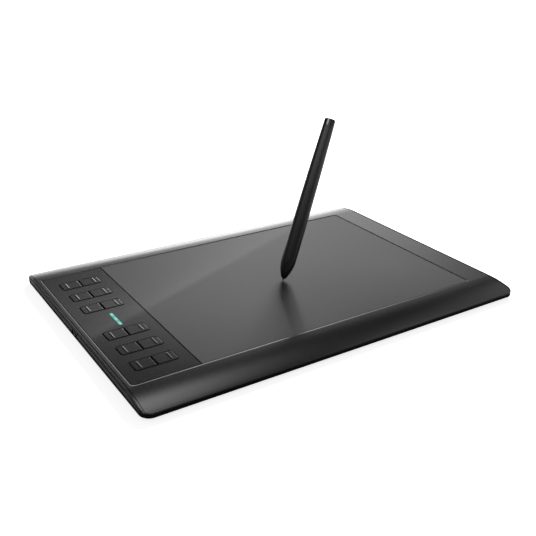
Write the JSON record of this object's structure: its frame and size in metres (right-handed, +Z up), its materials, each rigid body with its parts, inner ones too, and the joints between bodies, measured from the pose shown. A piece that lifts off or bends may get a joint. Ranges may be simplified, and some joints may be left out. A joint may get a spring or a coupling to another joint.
{
  "type": "graphics tablet",
  "caption": "Flat drawing tablet with curved front and rear aprons, paired keys beside a textured work area, and a cordless pen.",
  "frame": {"origin": "middle of the tablet's footprint, at desk height", "axes": "+X to the user's right along the long side, +Y away from the user, +Z up"},
  "size_m": [0.36, 0.24, 0.1416],
  "materials": {
    "case_dark": "satin, fine moulded texture",
    "case_black": "low gloss, black",
    "foot_rubber": "matt",
    "drawing_sheet": "fine paper-like grain",
    "key_panel_sheet": "satin",
    "key_plastic": "satin",
    "light_bar": "clear, lit from below",
    "led_body": "clear gel",
    "board": "solder mask",
    "chip": "moulded",
    "shield_steel": "tinned",
    "flex": "smooth film",
    "socket_steel": "bright plated",
    "socket_insulator": "moulded",
    "screw_steel": "zinc plated",
    "dome_steel": "bright",
    "pen_plastic": "soft satin black",
    "pen_gloss": "polished",
    "nib_plastic": "smooth",
    "ferrite": "fired, dull",
    "copper_winding": "enamelled",
    "sensor_housing": "moulded",
    "chassis_plastic": "moulded",
    "switch_body": "stamped",
    "rocker_plastic": "polished",
    "cell_can": "plain can"
  },
  "bodies": {
    "tablet": {"top_cover": "case_dark", "bottom_cover": "case_black", "rubber_feet": "foot_rubber", "drawing_surface": "drawing_sheet", "key_panel": "key_panel_sheet", "light_guide": "light_bar", "indicator_leds": "led_body", "main_board": "board", "board_chips": "chip", "sensor_board": "board", "shield_plate": "shield_steel", "ribbon_cable": "flex", "usb_socket": "socket_steel", "usb_insert": "socket_insulator", "case_screws": "screw_steel", "board_screws": "screw_steel", "dome_1_left": "dome_steel", "dome_1_right": "dome_steel", "dome_2_left": "dome_steel", "dome_2_right": "dome_steel", "dome_3_left": "dome_steel", "dome_3_right": "dome_steel", "dome_4_left": "dome_steel", "dome_4_right": "dome_steel", "dome_5_left": "dome_steel", "dome_5_right": "dome_steel", "dome_6_left": "dome_steel", "dome_6_right": "dome_steel"},
    "key_1_left_body": {"key_1_left": "key_plastic"},
    "key_1_right_body": {"key_1_right": "key_plastic"},
    "key_2_left_body": {"key_2_left": "key_plastic"},
    "key_2_right_body": {"key_2_right": "key_plastic"},
    "key_3_left_body": {"key_3_left": "key_plastic"},
    "key_3_right_body": {"key_3_right": "key_plastic"},
    "key_4_left_body": {"key_4_left": "key_plastic"},
    "key_4_right_body": {"key_4_right": "key_plastic"},
    "key_5_left_body": {"key_5_left": "key_plastic"},
    "key_5_right_body": {"key_5_right": "key_plastic"},
    "key_6_left_body": {"key_6_left": "key_plastic"},
    "key_6_right_body": {"key_6_right": "key_plastic"},
    "pen": {"pen_nose_cone": "pen_plastic", "pen_barrel": "pen_plastic", "pen_end_cap": "pen_gloss", "pen_ferrite": "ferrite", "pen_coil": "copper_winding", "pen_force_sensor": "sensor_housing", "pen_chassis": "chassis_plastic", "pen_board": "board", "pen_switches": "switch_body", "pen_battery": "cell_can"},
    "nib": {"pen_nib": "nib_plastic", "pen_plunger": "nib_plastic"},
    "rocker": {"pen_rocker": "rocker_plastic"}
  },
  "joints": [
    {"name": "press_key_1_left", "type": "slide", "parent": "tablet", "child": "key_1_left_body", "axis": [0, 0, -1], "range_m": [0, 0.0004], "stiffness_N_per_m": 2500, "deforming": ["dome_1_left"]},
    {"name": "press_key_1_right", "type": "slide", "parent": "tablet", "child": "key_1_right_body", "axis": [0, 0, -1], "range_m": [0, 0.0004], "stiffness_N_per_m": 2500, "deforming": ["dome_1_right"]},
    {"name": "press_key_2_left", "type": "slide", "parent": "tablet", "child": "key_2_left_body", "axis": [0, 0, -1], "range_m": [0, 0.0004], "stiffness_N_per_m": 2500, "deforming": ["dome_2_left"]},
    {"name": "press_key_2_right", "type": "slide", "parent": "tablet", "child": "key_2_right_body", "axis": [0, 0, -1], "range_m": [0, 0.0004], "stiffness_N_per_m": 2500, "deforming": ["dome_2_right"]},
    {"name": "press_key_3_left", "type": "slide", "parent": "tablet", "child": "key_3_left_body", "axis": [0, 0, -1], "range_m": [0, 0.0004], "stiffness_N_per_m": 2500, "deforming": ["dome_3_left"]},
    {"name": "press_key_3_right", "type": "slide", "parent": "tablet", "child": "key_3_right_body", "axis": [0, 0, -1], "range_m": [0, 0.0004], "stiffness_N_per_m": 2500, "deforming": ["dome_3_right"]},
    {"name": "press_key_4_left", "type": "slide", "parent": "tablet", "child": "key_4_left_body", "axis": [0, 0, -1], "range_m": [0, 0.0004], "stiffness_N_per_m": 2500, "deforming": ["dome_4_left"]},
    {"name": "press_key_4_right", "type": "slide", "parent": "tablet", "child": "key_4_right_body", "axis": [0, 0, -1], "range_m": [0, 0.0004], "stiffness_N_per_m": 2500, "deforming": ["dome_4_right"]},
    {"name": "press_key_5_left", "type": "slide", "parent": "tablet", "child": "key_5_left_body", "axis": [0, 0, -1], "range_m": [0, 0.0004], "stiffness_N_per_m": 2500, "deforming": ["dome_5_left"]},
    {"name": "press_key_5_right", "type": "slide", "parent": "tablet", "child": "key_5_right_body", "axis": [0, 0, -1], "range_m": [0, 0.0004], "stiffness_N_per_m": 2500, "deforming": ["dome_5_right"]},
    {"name": "press_key_6_left", "type": "slide", "parent": "tablet", "child": "key_6_left_body", "axis": [0, 0, -1], "range_m": [0, 0.0004], "stiffness_N_per_m": 2500, "deforming": ["dome_6_left"]},
    {"name": "press_key_6_right", "type": "slide", "parent": "tablet", "child": "key_6_right_body", "axis": [0, 0, -1], "range_m": [0, 0.0004], "stiffness_N_per_m": 2500, "deforming": ["dome_6_right"]},
    {"name": "lift_pen", "type": "slide", "parent": "tablet", "child": "pen", "axis": [0, 0, 1], "range_m": [0, 0.05]},
    {"name": "press_nib", "type": "slide", "parent": "pen", "child": "nib", "axis": [0.4411, 0.2066, 0.8733], "range_m": [0, 0.0004], "stiffness_N_per_m": 3000},
    {"name": "tilt_rocker", "type": "hinge", "parent": "pen", "child": "rocker", "pos_m": [0.03051, 0.00481, 0.05314], "axis": [0.8961, -0.0487, -0.4411], "range_deg": [-2.4, 2.4], "stiffness_Nm_per_rad": 0.05}
  ]
}
